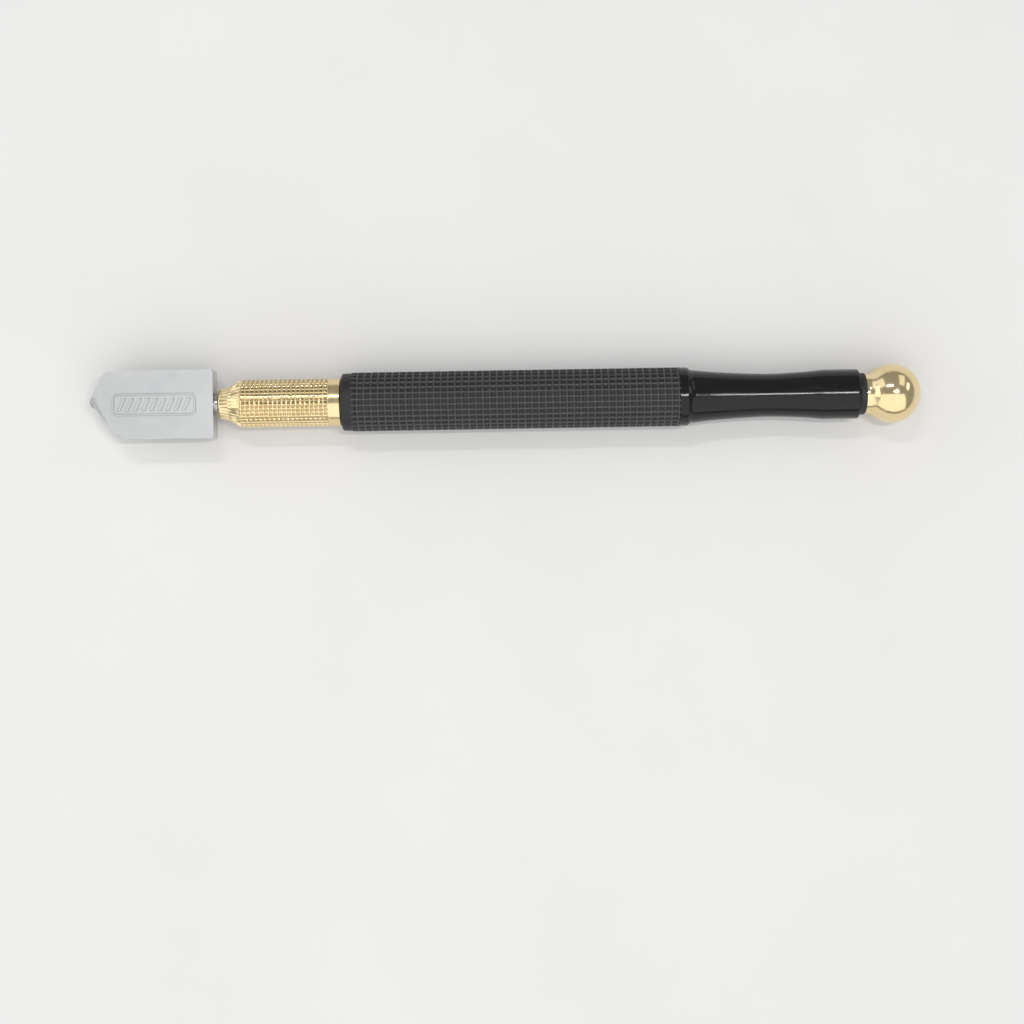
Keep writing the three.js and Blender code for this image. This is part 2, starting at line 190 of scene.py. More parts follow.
def brass_look(name, polish, painted_pocket_shade=False):
    """Turned brass: fine lathe lines, faint warm and cool patches, darker in the corners; knurled
    brass also gets painted shade in its pockets.
    """
    look = Look(name, (0.88, 0.71, 0.40), 0.16, 1.0)
    patches = look.span(look.noise(5.0, 4.0), 0.35, 0.65)
    base = look.mix(patches, (0.90, 0.74, 0.44), (0.85, 0.67, 0.36))
    tarnish = look.span(look.noise(1.1, 6.0, rough=0.7), 0.56, 0.8, 0.0, 0.35)
    base = look.mix(tarnish, base, (0.60, 0.43, 0.20))
    corners = look.span(look.pointiness(), 0.40, 0.49, 0.55, 0.0)
    base = look.mix(corners, base, (0.30, 0.17, 0.06))
    if painted_pocket_shade:
        # painted shade: the knurl's pockets are painted darker brown, standing in for the shade
        # that falls in them
        pockets = look.span(look.attribute("ridge"), 0.0, 0.8, 0.48, 0.0)
        base = look.mix(pockets, base, (0.34, 0.22, 0.08))
    look.color(base)
    smears = look.noise(2.4, 5.0, stretch=(0.4, 1, 1))
    look.roughness(look.span(smears, 0.3, 0.75, polish, polish + 0.10))
    look.bump(look.noise(0.07, 2.0, stretch=(0.5, 40, 40)), 0.002, 0.5)
    look.bump(look.noise(0.5, 3.0), 0.003, 0.35)
    return look.material


def zinc_look():
    """Satin-plated casting: an even fine matte grain, soft changes of tone, brighter edges rubbed
    bare, and painted shade in the inner corners.
    """
    look = Look("satin_zinc_look", (0.62, 0.63, 0.63), 0.42, 1.0)
    clouds = look.span(look.noise(7.0, 4.0), 0.3, 0.7)
    base = look.mix(clouds, (0.66, 0.67, 0.665), (0.60, 0.612, 0.61))
    open_face = look.openness(0.30)
    edges = look.math("MULTIPLY", look.edge(0.12), look.span(open_face, 0.85, 1.0))
    base = look.mix(edges, base, (0.80, 0.81, 0.81))
    # painted shade: inner corners, found by occlusion, are painted near black
    corner_shade = look.span(open_face, 0.55, 0.95, 0.75, 0.0)
    look.color(look.mix(corner_shade, base, (0.16, 0.16, 0.155)))
    grain = look.noise(0.10, 3.0)
    look.roughness(look.span(grain, 0.3, 0.7, 0.36, 0.48))
    look.bump(grain, 0.012, 0.5)
    look.bump(look.noise(1.6, 4.0), 0.010, 0.5)
    return look.material


def steel_look(name, color, rough, grain_mm, stretch=(0.3, 30, 30)):
    """Turned or ground steel with fine lines across its axis and faint stains."""
    look = Look(name, color, rough, 1.0)
    stains = look.span(look.noise(1.3, 5.0), 0.4, 0.75, 0.0, 0.6)
    look.color(look.mix(stains, color, [c * 0.72 for c in color]))
    look.roughness(look.span(look.noise(0.6, 4.0), 0.3, 0.7, rough - 0.06, rough + 0.10))
    look.bump(look.noise(grain_mm, 3.0, stretch=stretch), 0.004, 0.6)
    return look.material


def grip_look():
    """Satin black moulding: grainy pockets painted darker as painted shade, ridge tops painted
    greyer as a painted highlight, and made a little smoother.
    """
    look = Look("grip_look", (0.016, 0.017, 0.018), 0.42)
    ridge = look.attribute("ridge")
    speckle = look.noise(0.5, 5.0, rough=0.7)
    # painted highlight and shade: ridge tops are painted lighter and pockets darker, standing in
    # for the light the ridges catch; the same mask makes the tops smoother
    ridge_light_and_rub = look.math("MULTIPLY", ridge, look.span(speckle, 0.3, 0.65, 0.5, 1.0))
    look.color(look.mix(ridge_light_and_rub, (0.010, 0.0103, 0.0105), (0.064, 0.065, 0.066)))
    fine = look.noise(0.09, 2.0)
    smooth = look.span(ridge_light_and_rub, 0.0, 1.0, 0.50, 0.34)
    look.roughness(look.math("ADD", smooth, look.span(fine, 0.3, 0.7, -0.04, 0.05)))
    look.bump(fine, 0.010, 0.5)
    look.bump(speckle, 0.012, 0.3)
    return look.material


def tail_look():
    """Glossy black moulding with faint flow marks, hairline scratches and a little dust."""
    look = Look("tail_look", (0.010, 0.0105, 0.011), 0.12)
    look.shader.inputs["Specular IOR Level"].default_value = 0.33
    dust = look.span(look.noise(0.35, 6.0, rough=0.75), 0.62, 0.80, 0.0, 0.5)
    look.color(look.mix(dust, (0.007, 0.007, 0.0072), (0.040, 0.039, 0.037)))
    haze = look.noise(3.0, 5.0, stretch=(2.5, 1, 1))
    look.roughness(look.span(haze, 0.3, 0.75, 0.09, 0.20))
    look.bump(look.noise(0.12, 2.0, stretch=(30, 0.5, 0.5)), 0.0015, 0.4)
    look.bump(look.noise(2.5, 2.0), 0.010, 0.25)
    return look.material


def rubber_look():
    look = Look("rubber_look", (0.012, 0.012, 0.013), 0.55)
    bloom = look.span(look.noise(0.8, 5.0), 0.45, 0.75, 0.0, 0.6)
    look.color(look.mix(bloom, (0.011, 0.011, 0.012), (0.035, 0.035, 0.036)))
    fine = look.noise(0.08, 3.0)
    look.roughness(look.span(fine, 0.3, 0.7, 0.45, 0.65))
    look.bump(fine, 0.008, 0.5)
    return look.material


def cotton_look():
    look = Look("cotton_look", (0.78, 0.73, 0.62), 0.95)
    look.shader.inputs["Sheen Weight"].default_value = 0.3
    fibres = look.noise(0.06, 4.0, stretch=(4, 1, 1))
    look.color(look.mix(look.span(fibres, 0.3, 0.7), (0.62, 0.55, 0.42), (0.86, 0.82, 0.72)))
    look.bump(fibres, 0.03, 0.8)
    return look.material


def floor_look():
    look = Look("floor_look", (0.80, 0.79, 0.775), 0.6)
    look.shader.inputs["Specular IOR Level"].default_value = 0.2
    tone = look.span(look.noise(60.0, 3.0), 0.3, 0.7)
    look.color(look.mix(tone, (0.80, 0.79, 0.775), (0.775, 0.765, 0.75)))
    look.bump(look.noise(0.5, 3.0), 0.01, 0.3)
    return look.material


POLISHED_BRASS = brass_look("polished_brass_look", 0.10)
TURNED_BRASS = brass_look("turned_brass_look", 0.22)
# the knurled brass carries painted shade in its pockets
KNURLED_BRASS = brass_look("knurled_brass_look", 0.14, painted_pocket_shade=True)
SATIN_ZINC = zinc_look()
STEEL = steel_look("steel_look", (0.56, 0.56, 0.57), 0.24, 0.05)
CARBIDE = steel_look("carbide_look", (0.20, 0.21, 0.22), 0.28, 0.04, stretch=(1, 1, 20))
GRIP_BLACK = grip_look()
TAIL_BLACK = tail_look()
RUBBER = rubber_look()
COTTON = cotton_look()


# ---------------------------------------------------------------- shape helpers


def even_columns(count):
    return np.arange(count) * (2 * math.pi / count)


def soften(profile, radius, steps=3, sharp_degrees=20):
    """Rounds each corner of an [x, r] profile with an arc of about the given radius."""
    closed = profile[0] == profile[-1]
    points = [Vector(p) for p in (profile[:-1] if closed else profile)]
    count = len(points)
    out = []
    for i, corner in enumerate(points):
        if not closed and i in (0, count - 1):
            out.append(tuple(corner))
            continue
        back = points[i - 1] - corner
        ahead = points[(i + 1) % count] - corner
        turn = math.pi - back.angle(ahead, math.pi)
        if turn < math.radians(sharp_degrees):
            out.append(tuple(corner))
            continue
        reach = min(radius * math.tan(turn / 2), 0.45 * back.length, 0.45 * ahead.length)
        start = corner + back.normalized() * reach
        end = corner + ahead.normalized() * reach
        for k in range(steps + 1):
            t = k / steps
            out.append(tuple(start.lerp(corner, t).lerp(corner.lerp(end, t), t)))
    if closed:
        out.append(out[0])
    return out


def arc(centre, radii, from_degrees, to_degrees, steps):
    """Points [x, r] of an ellipse arc; 0 degrees is towards +x."""
    out = []
    for i in range(steps + 1):
        a = math.radians(from_degrees + (to_degrees - from_degrees) * i / steps)
        out.append((centre[0] + radii[0] * math.cos(a), centre[1] + radii[1] * math.sin(a)))
    return out


def through(points, step_mm):
    """A smooth profile through [x, r] points, sampled about every step_mm (Catmull-Rom)."""
    p = [Vector(q) for q in points]
    p = [2 * p[0] - p[1], *p, 2 * p[-1] - p[-2]]
    out = []
    for i in range(1, len(p) - 2):
        pieces = max(1, round((p[i + 1] - p[i]).length / step_mm))
        for k in range(pieces):
            t = k / pieces
            out.append(
                tuple(
                    0.5
                    * (
                        2 * p[i]
                        + (p[i + 1] - p[i - 1]) * t
                        + (2 * p[i - 1] - 5 * p[i] + 4 * p[i + 1] - p[i + 2]) * t**2
                        + (3 * p[i] - p[i - 1] - 3 * p[i + 1] + p[i + 2]) * t**3
                    )
                )
            )
    out.append(tuple(p[-2]))
    return out


def refine(profile, step_mm):
    """Splits each stretch of a profile so that no row is further than step_mm from the next."""
    out = [profile[0]]
    for (x0, r0), (x1, r1) in zip(profile, profile[1:]):
        pieces = max(1, math.ceil(math.hypot(x1 - x0, r1 - r0) / step_mm))
        for k in range(1, pieces + 1):
            out.append((x0 + (x1 - x0) * k / pieces, r0 + (r1 - r0) * k / pieces))
    return out


def turned(profile, columns, relief=None):
    """Vertices, faces and ridge values of a piece turned about the x axis.

    The outside of the profile runs towards +x. A profile that starts and ends on the axis gets
    poles; one that closes on itself is a ring. relief(x, r, angle) gives what is added to the
    radius, and how much of a ridge each point is.
    """
    closed = math.dist(profile[0], profile[-1]) < 1e-9
    rows = profile[:-1] if closed else profile[1:-1]
    x = np.array([p[0] for p in rows])[:, None]
    r = np.array([p[1] for p in rows])[:, None] + 0 * columns
    ridge = np.zeros_like(r)
    if relief:
        added, ridge = relief(x, r, columns)
        r = r + added
    grid = np.stack([x + 0 * r, r * np.sin(columns), r * np.cos(columns)], axis=-1)
    vertices = grid.reshape(-1, 3).tolist()
    ridges = ridge.ravel().tolist()
    n = len(columns)
    faces = []
    for i in range(len(rows) - (0 if closed else 1)):
        a, b = i * n, (i + 1) % len(rows) * n
        faces += [(a + j, b + j, b + (j + 1) % n, a + (j + 1) % n) for j in range(n)]
    if not closed:
        front, rear = len(vertices), len(vertices) + 1
        vertices += [(profile[0][0], 0, 0), (profile[-1][0], 0, 0)]
        ridges += [0, 0]
        last = (len(rows) - 1) * n
        faces += [(front, j, (j + 1) % n) for j in range(n)]
        faces += [(rear, last + (j + 1) % n, last + j) for j in range(n)]
    return vertices, faces, ridges


def make_mesh(name, vertices, faces, ridges=None, to_tool=None):
    mesh = bpy.data.meshes.new(name)
    mesh.from_pydata(vertices, [], faces)
    mesh.transform(TOOL @ (to_tool or Matrix.Identity(4)))
    if ridges:
        mesh.attributes.new("ridge", "FLOAT", "POINT").data.foreach_set("value", ridges)
    return mesh


def add_piece(name, mesh, materials, body, nodes, sharp_degrees=32):
    """Links a mesh as a piece that rides on a body and stands for CAD nodes."""
    mesh.name = name
    for material in materials:
        mesh.materials.append(material)
    mesh.shade_smooth()
    mesh.set_sharp_from_angle(angle=math.radians(sharp_degrees))
    piece = bpy.data.objects.new(name, mesh)
    bpy.context.scene.collection.objects.link(piece)
    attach(piece, body)
    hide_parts(*nodes)
    return piece


def add_turned(name, profile, sides, material, body, node, relief=None, to_tool=None):
    mesh = make_mesh(name, *turned(profile, even_columns(sides), relief), to_tool=to_tool)
    return add_piece(name, mesh, [material], body, [node])


def tube(from_x, to_x, inner, outer):
    """Closed profile of a plain ring."""
    return [(from_x, inner), (from_x, outer), (to_x, outer), (to_x, inner), (from_x, inner)]


def round_ring(middle_x, inner, outer, steps=24):
    half = (outer - inner) / 2
    return arc((middle_x, inner + half), (half, half), 180, -180, steps)


def thread_relief(from_x, to_x, pitch, height, phase=0.0):
    """A right-hand helical thread: a rounded ridge of the given height between two stations."""

    def relief(x, r, angle):
        turns = (x - from_x) / pitch + angle / (2 * math.pi) + phase
        wave = 0.5 + 0.5 * np.cos(2 * math.pi * turns)
        wave = np.clip(1.6 * wave - 0.3, 0, 1)
        run_out = 0.6 * pitch
        fade = np.clip((x - from_x) / run_out, 0, 1) * np.clip((to_x - x) / run_out, 0, 1)
        return height * wave * fade, 0 * wave

    return relief


def solid_of(name, vertices, faces):
    """A bare object for cutting, still in the tool's millimetres."""
    mesh = bpy.data.meshes.new(name)
    mesh.from_pydata([tuple(v) for v in vertices], [], faces)
    return bpy.data.objects.new(name, mesh)


def prism(outline, low, high):
    """A straight prism over an [a, b] outline, from one height to another."""
    n = len(outline)
    vertices = [(a, b, z) for z in (low, high) for a, b in outline]
    faces = [(i, (i + 1) % n, n + (i + 1) % n, n + i) for i in range(n)]
    return vertices, [tuple(reversed(range(n))), *faces, tuple(range(n, 2 * n))]


def upright(x, y, profile, sides=48):
    """A turned piece whose axis stands along z; its profile lists [z, r]."""
    vertices, faces, _ = turned(profile, even_columns(sides))
    return [(x - v[2], y + v[1], v[0]) for v in vertices], faces


def rod(from_x, to_x, radius, sides=64):
    profile = [(from_x, 0), (from_x, radius), (to_x, radius), (to_x, 0)]
    return turned(profile, even_columns(sides))[:2]


def combine(base, tools):
    """Applies (operation, vertices, faces) tools to a bare object and returns the new mesh."""
    scene = bpy.context.scene.collection
    scene.objects.link(base)
    made = [base]
    for operation, vertices, faces in tools:
        tool = solid_of("tool", vertices, faces)
        scene.objects.link(tool)
        made.append(tool)
        modifier = base.modifiers.new("cut", "BOOLEAN")
        modifier.operation = operation
        modifier.solver = "EXACT"
        modifier.object = tool
    bpy.context.view_layer.update()
    depsgraph = bpy.context.evaluated_depsgraph_get()
    mesh = bpy.data.meshes.new_from_object(base.evaluated_get(depsgraph))
    for o in made:
        bpy.data.objects.remove(o)
    return mesh


# ---------------------------------------------------------------- moulded grid of fine ridges


class Grid:
    """Raised rings crossed by raised lengthwise ridges, with square pockets between them."""

    def __init__(self, rings, ridges, phase_degrees, columns_per_ridge, foot, top, depth):
        self.rings = np.array(rings)
        self.step = 2 * math.pi / (ridges * columns_per_ridge)
        self.ridges = math.radians(phase_degrees) + even_columns(ridges)
        first = math.radians(phase_degrees) + self.step / 2
        self.columns = first + even_columns(ridges * columns_per_ridge)
        self.foot, self.top, self.depth = foot, top, depth

    def rows(self):
        offsets = [-self.foot, -self.top, 0, self.top, self.foot]
        return [c + o / 2 for c in self.rings for o in offsets]

    def ring_height(self, x):
        """1 on a ring's top, 0 at its foot."""
        away = np.abs(x - self.rings).min(axis=-1, keepdims=True)
        return np.interp(away, [0.0, self.top / 2, self.foot / 2], [1.0, 0.86, 0.0])

    def ridge_height(self, angle):
        """1 on a ridge's top, which is one column wide, and 0 at its foot, a column further out."""
        apart = (angle[:, None] - self.ridges + math.pi) % (2 * math.pi) - math.pi
        away = np.abs(apart).min(axis=1) / self.step
        return np.interp(away, [0.5, 1.5], [1.0, 0.0])[None, :]


# ---------------------------------------------------------------- black handle

LIP_RADIUS = 6.2
GRIP_RADIUS = 6.35
GRIP_X = (57.8, 127.6)
RIDGE_START = 56.8
RING_START = 58.3
RING_PITCH = 1.5
RING_COUNT = 47
SHOULDER_X = 129.3
WAIST_END = 158.8
TAIL_EDGE_X = 165.5
TAIL_END_RADIUS = 5.36
MOUTH = (160.9, HANDLE_REAR - 0.6)
MOUTH_RADIUS = 3.7
NECK_RADIUS = 3.3
RESERVOIR_RADIUS = 4.0
SOCKET_RADIUS = 4.7
SOCKET_MOUTH_RADIUS = 4.85

ring_stations = [RING_START + k * RING_PITCH for k in range(RING_COUNT)]
grip = Grid(ring_stations, 30, 1.8, 8, foot=0.50, top=0.20, depth=0.34)

lip = [(HANDLE_FRONT, SOCKET_MOUTH_RADIUS), (HANDLE_FRONT, LIP_RADIUS), (60, LIP_RADIUS)]
outside = soften(lip, 1.0, 6)[:-1]
outside += refine([(HANDLE_FRONT + 1.1, LIP_RADIUS), (RIDGE_START, LIP_RADIUS)], 0.4)[1:]
outside += [(RIDGE_START + 0.25, LIP_RADIUS), (GRIP_X[0], LIP_RADIUS)]
outside += [(GRIP_X[0] + 0.06, GRIP_RADIUS)]
outside += [(x, GRIP_RADIUS) for x in grip.rows()]
# close rows at both ends of the smooth band keep its shading even
band = (GRIP_X[1], GRIP_X[1] + 0.06, 128.5, SHOULDER_X - 0.06, SHOULDER_X)
outside += [(x, GRIP_RADIUS) for x in band]
outside += [(129.42, 6.30)]
tail = [(130.1, 5.78), (136.6, 5.15), (146.4, 4.68), (154.0, 4.95), (WAIST_END, TAIL_END_RADIUS)]
outside += through(tail, 0.8)
outside += refine([(WAIST_END, TAIL_END_RADIUS), (TAIL_EDGE_X, TAIL_END_RADIUS)], 1.2)[1:]
rear_edge = [(TAIL_EDGE_X, TAIL_END_RADIUS), (HANDLE_REAR, TAIL_END_RADIUS)]
outside += soften([*rear_edge, (HANDLE_REAR, MOUTH_RADIUS)], 0.5, 5)[1:-1]

inside = [(HANDLE_REAR, MOUTH_RADIUS + 0.25), (HANDLE_REAR - 0.25, MOUTH_RADIUS + 0.02)]
inside += refine([(MOUTH[1], MOUTH_RADIUS), (MOUTH[0] + 0.3, MOUTH_RADIUS)], 0.14)
inside += [(MOUTH[0], MOUTH_RADIUS), (MOUTH[0], NECK_RADIUS), (141.5, NECK_RADIUS)]
inside += [(136.0, RESERVOIR_RADIUS), (67.2, RESERVOIR_RADIUS)]
inside += [(66.5, SOCKET_RADIUS), (57.0, SOCKET_RADIUS)]
inside += [(57.0, SOCKET_MOUTH_RADIUS), (HANDLE_FRONT + 0.3, SOCKET_MOUTH_RADIUS)]
handle_profile = [*outside, *inside, outside[0]]
mouth_thread = thread_relief(MOUTH[0] + 0.4, MOUTH[1] - 0.1, 1.0, 0.22)


def handle_relief(x, r, angle):
    """Pockets of the grip on the outside, and the filler thread inside the mouth."""
    ridge = grip.ridge_height(angle)
    ring = grip.ring_height(x)
    outer = r > LIP_RADIUS - 0.2
    on_grip = outer & (x > GRIP_X[0] + 0.01) & (x < GRIP_X[1] - 0.01)
    on_lip = outer & (x > RIDGE_START + 0.1) & (x < GRIP_X[0] + 0.01)
    raised = np.maximum(ridge, ring)
    added = np.where(on_grip, grip.depth * (raised - 1), 0)
    added = np.where(on_lip, (GRIP_RADIUS - LIP_RADIUS) * ridge, added)
    in_mouth = (np.abs(r - MOUTH_RADIUS) < 0.05) & (x < MOUTH[1]) & (x > MOUTH[0] + 0.2)
    added = np.where(in_mouth, mouth_thread(x, r, angle)[0], added)
    return added, np.where(on_grip | on_lip, raised, 0) + 0 * r


handle_mesh = make_mesh("handle", *turned(handle_profile, grip.columns, handle_relief))
blacks = [GRIP_BLACK, TAIL_BLACK]
add_piece("handle", handle_mesh, blacks, "handle", ["handle_body"], 80)
glossy_from = TIP_X + GRIP_X[1] * MM
centres = np.empty(len(handle_mesh.polygons) * 3)
handle_mesh.polygons.foreach_get("center", centres)
handle_mesh.polygons.foreach_set("material_index", (centres[::3] > glossy_from).astype(np.int32))


# ---------------------------------------------------------------- brass front barrel

KNURL_END = 52.15
SHOULDER = 54.65
SPIGOT_RADIUS = 4.40
SEAL_GROOVE = (55.35, 56.55)
GROOVE_RADIUS = 3.98
CHAMBER_RADIUS = 3.6
GLAND_X = (31.0, 34.0)
GLAND_RADIUS = 3.0
STEM_HOLE_RADIUS = 2.0
FLUTES = ([28.4, 28.7, 30.4, 32.9], [0.0, 0.05, 0.09, 0.20])
KNURL_START = 33.27
KNURL_PITCH = 0.986
KNURL_RINGS = 20

knurl_stations = [KNURL_START + k * KNURL_PITCH for k in range(KNURL_RINGS)]
knurl = Grid(knurl_stations, 36, 3.5, 6, foot=0.42, top=0.18, depth=0.20)
nose = [(NOSE, 2.45), (NOSE + 0.05, 2.70), (28.2, 3.14), (28.45, 3.30), (29.4, 3.48), (30.4, 3.74)]
nose += [(31.2, 4.14), (31.7, 4.42), (32.1, 4.66), (32.5, 4.84), (32.9, 4.98)]
outside = [(NOSE, STEM_HOLE_RADIUS), *refine(nose, 0.3)]
outside += [(x, BARREL_RADIUS) for x in knurl.rows()]
outside += [(KNURL_END + 0.1, BARREL_RADIUS), (SHOULDER - 0.25, BARREL_RADIUS)]
outside += [(SHOULDER, BARREL_RADIUS - 0.25), (SHOULDER, SPIGOT_RADIUS)]
outside += [(SEAL_GROOVE[0], SPIGOT_RADIUS), (SEAL_GROOVE[0], GROOVE_RADIUS)]
outside += [(SEAL_GROOVE[1], GROOVE_RADIUS), (SEAL_GROOVE[1], SPIGOT_RADIUS)]
outside += refine([(56.95, SPIGOT_RADIUS), (64.4, SPIGOT_RADIUS)], 0.14)
outside += [(SPIGOT_END, 4.05), (SPIGOT_END, 3.75), (SPIGOT_END - 0.15, CHAMBER_RADIUS)]
outside += [(GLAND_X[1], CHAMBER_RADIUS), (GLAND_X[1], GLAND_RADIUS)]
outside += [(GLAND_X[0], GLAND_RADIUS), (GLAND_X[0], STEM_HOLE_RADIUS), (NOSE, STEM_HOLE_RADIUS)]
spigot_thread = thread_relief(57.1, 64.3, 1.0, 0.20)


def barrel_relief(x, r, angle):
    """Knurl pockets on the barrel, flutes that run out over the nose, and the spigot's thread."""
    ridge = knurl.ridge_height(angle)
    ring = knurl.ring_height(x)
    crossed = np.maximum(ridge, ring)
    on_barrel = (r > 5.05) & (x < KNURL_END)
    on_nose = (x > 28.4) & (x < 32.95) & (r > 3.1)
    added = np.where(on_barrel, knurl.depth * (crossed - 1), 0)
    nose_depth = np.interp(x, *FLUTES)
    added = np.where(on_nose, nose_depth * (ridge - 1), added)
    on_spigot = (np.abs(r - SPIGOT_RADIUS) < 0.01) & (x > 57.05) & (x < 64.35)
    added = np.where(on_spigot, spigot_thread(x, r, angle)[0], added)
    return added, np.where(on_barrel, crossed, 1) + 0 * r


barrel_mesh = make_mesh("barrel", *turned(outside, knurl.columns, barrel_relief))
brass = [KNURLED_BRASS]
add_piece("front_barrel_turned", barrel_mesh, brass, "handle", ["front_barrel"], 40)

bush = soften(tube(32.2, GLAND_X[1], STEM_HOLE_RADIUS, 2.95), 0.15)
add_turned("gland_bush_turned", bush, 64, TURNED_BRASS, "handle", "gland_bush")
ring = round_ring(31.6, STEM_HOLE_RADIUS, 2.95)
add_turned("nose_seal_ring", ring, 64, RUBBER, "handle", "nose_o_ring")
ring = round_ring(55.95, 4.03, 4.80)
add_turned("barrel_seal_ring", ring, 96, RUBBER, "handle", "barrel_o_ring")


# ---------------------------------------------------------------- spring and its seats


SPRING_X = (37.1, 48.9)


def spring_mesh(from_x, to_x, mean, wire, turns, closed_turns, sides=12, steps_per_turn=40):
    """A compression spring whose end turns close up and are ground square."""
    steps = round(turns * steps_per_turn)
    t = np.linspace(0, turns, steps + 1)
    near_end = np.minimum(t, turns - t)
    weight = np.clip((near_end - closed_turns) / 0.5, 0, 1)
    closed_pitch = 2 * wire + 0.03
    slow = closed_pitch * (1 - weight)
    fast = weight
    step = t[1] - t[0]
    slow_rise = np.concatenate([[0], np.cumsum((slow[1:] + slow[:-1]) / 2 * step)])
    fast_rise = np.concatenate([[0], np.cumsum((fast[1:] + fast[:-1]) / 2 * step)])
    ground = 0.35 * wire
    length = to_x - from_x - 2 * (wire - ground)
    x = from_x + wire - ground + slow_rise + fast_rise * (length - slow_rise[-1]) / fast_rise[-1]
    vertices = []
    for i, turn in enumerate(t):
        a = turn * 2 * math.pi
        out = Vector((0, math.cos(a), math.sin(a)))
        for k in range(sides):
            b = 2 * math.pi * k / sides
            at = out * (mean + wire * math.cos(b)) + Vector((x[i] + wire * math.sin(b), 0, 0))
            at.x = min(max(at.x, from_x), to_x)
            vertices.append(tuple(at))
    faces = [tuple(range(sides))]
    for i in range(steps):
        a, b = i * sides, (i + 1) * sides
        faces += [(a + k, b + k, b + (k + 1) % sides, a + (k + 1) % sides) for k in range(sides)]
    faces.append(tuple(reversed(range(steps * sides, (steps + 1) * sides))))
    mesh = make_mesh("spring", vertices, faces)
    turn_faces_out(mesh)
    return mesh


def turn_faces_out(mesh):
    work = bmesh.new()
    work.from_mesh(mesh)
    bmesh.ops.recalc_face_normals(work, faces=work.faces)
    work.to_mesh(mesh)
    work.free()


coil = spring_mesh(*SPRING_X, 2.75, 0.3, 7, 0.8)
spring = add_piece("feed_spring_coil", coil, [STEEL], "handle", ["feed_spring"], 50)
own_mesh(spring)

washer = soften(tube(49.0, 49.5, 1.1, 3.45), 0.08)
add_turned("spring_seat_washer", washer, 72, STEEL, "handle", "spring_washer")

RETAINER_RADIUS = 3.42
retainer = [(49.6, 1.1), (49.6, 3.2)]
retainer += refine([(49.9, RETAINER_RADIUS), (53.1, RETAINER_RADIUS)], 0.1)
retainer += [(53.4, 3.2), (53.4, 1.1), (49.6, 1.1)]
retainer_thread = thread_relief(49.9, 53.1, 0.75, 0.10)


def retainer_relief(x, r, angle):
    added = retainer_thread(x, r, angle)[0]
    return np.where(r > RETAINER_RADIUS - 0.02, added, 0), 0 * added


plug = solid_of("plug", *turned(retainer, even_columns(64), retainer_relief)[:2])
slot_box = prism([(-5, -0.6), (5, -0.6), (5, 0.6), (-5, 0.6)], 52.1, 54.4)
slot_box = ([(z, x, y) for x, y, z in slot_box[0]], slot_box[1])
plug_mesh = combine(plug, [("DIFFERENCE", *slot_box)])
plug_mesh.transform(TOOL)
brass = [TURNED_BRASS]
add_piece("spring_retainer_plug", plug_mesh, brass, "handle", ["spring_retainer"])


# ---------------------------------------------------------------- feed stem

STEM_X = (20.0, 46.0)
STEM_RADIUS = 1.9
groove = (LOCK_X - 0.95, LOCK_X + 0.95)
stem = [(STEM_X[0], 0.0), (STEM_X[0], 1.7), (STEM_X[0] + 0.2, STEM_RADIUS)]
stem += [(groove[0] - 0.1, STEM_RADIUS), (groove[0], STEM_RADIUS - 0.1)]
stem += [(groove[0], 1.45), (groove[0] + 0.1, 1.35), (groove[1] - 0.1, 1.35), (groove[1], 1.45)]
stem += [(groove[1], STEM_RADIUS - 0.1), (groove[1] + 0.1, STEM_RADIUS)]
stem += [(STEM_X[1] - 0.4, STEM_RADIUS), (STEM_X[1], 1.5), (STEM_X[1], 0.0)]
bar = solid_of("bar", *turned(stem, even_columns(72))[:2])
bore = [(19.0, 0.0), (19.0, 0.85), (44.2, 0.85), (44.5, 0.5), (44.5, 0.0)]
port = upright(33.6, 0, [(-4, 0), (-4, 0.4), (4, 0.4), (4, 0)], 24)
stem_mesh = combine(
    bar,
    [("DIFFERENCE", *turned(bore, even_columns(40))[:2]), ("DIFFERENCE", *port)],
)
stem_mesh.transform(TOOL)
add_piece("feed_stem", stem_mesh, [STEEL], "stem", ["stem_tube"])

collar = soften(tube(34.95, 37.0, 1.95, 3.2), 0.2)
add_turned("stem_collar_ring", collar, 72, TURNED_BRASS, "stem", "stem_collar")
seat = soften(tube(34.05, 34.9, 1.95, 3.2), 0.12)
add_turned("stem_seat_washer", seat, 72, RUBBER, "stem", "stem_seal_washer")

WICK_ENDS = (4.0, 44.0)


def wick_relief(x, r, angle):
    """Three twisted strands, each with a finer twist of its own."""
    strands = np.abs(np.sin(1.5 * (angle - 2 * math.pi * x / 2.6)))
    threads = np.sin(9 * (angle + 2 * math.pi * x / 4.0))
    added = 0.13 * (strands - 1) + 0.018 * (threads - 1)
    return np.where(r > 0.3, added, 0), 0 * added


wick = [(WICK_ENDS[0], 0.0), (WICK_ENDS[0], 0.42)]
wick += refine([(WICK_ENDS[0] + 0.1, 0.6), (WICK_ENDS[1] - 0.1, 0.6)], 0.2)
wick += [(WICK_ENDS[1], 0.42), (WICK_ENDS[1], 0.0)]
add_turned("oil_wick_cord", wick, 48, COTTON, "stem", "oil_wick", wick_relief)


# ---------------------------------------------------------------- flat head

HEAD_OUTLINE = [
    (HEAD_FRONT, 1.26),
    (HEAD_FRONT, 0.37),
    (6.4, -6.45),
    (7.6, -HEAD_HALF_WIDTH),
    (HEAD_REAR, -HEAD_HALF_WIDTH),
    (HEAD_REAR, HEAD_HALF_WIDTH),
    (4.5, HEAD_HALF_WIDTH),
    (3.5, 6.75),
    (HEAD_FRONT, 1.26),
]
SLOT_FLOOR = 4.2
EDGE_ROUND = 0.25
RELIEF_START = (1.9, 0.85)
RELIEF_SKEW = math.radians(28)
RELIEF_SLOPE = 0.7
AXLE_RADIUS = 0.5
BAND = {"x": 14.4, "half_x": 9.0, "half_y": 2.4, "round": 1.1, "line": 0.42, "rise": 0.14}
BAND_ROOT = 0.2
BAND_DRAFT = 0.09
RIB_COUNT = 9
RIB_PITCH = 1.75


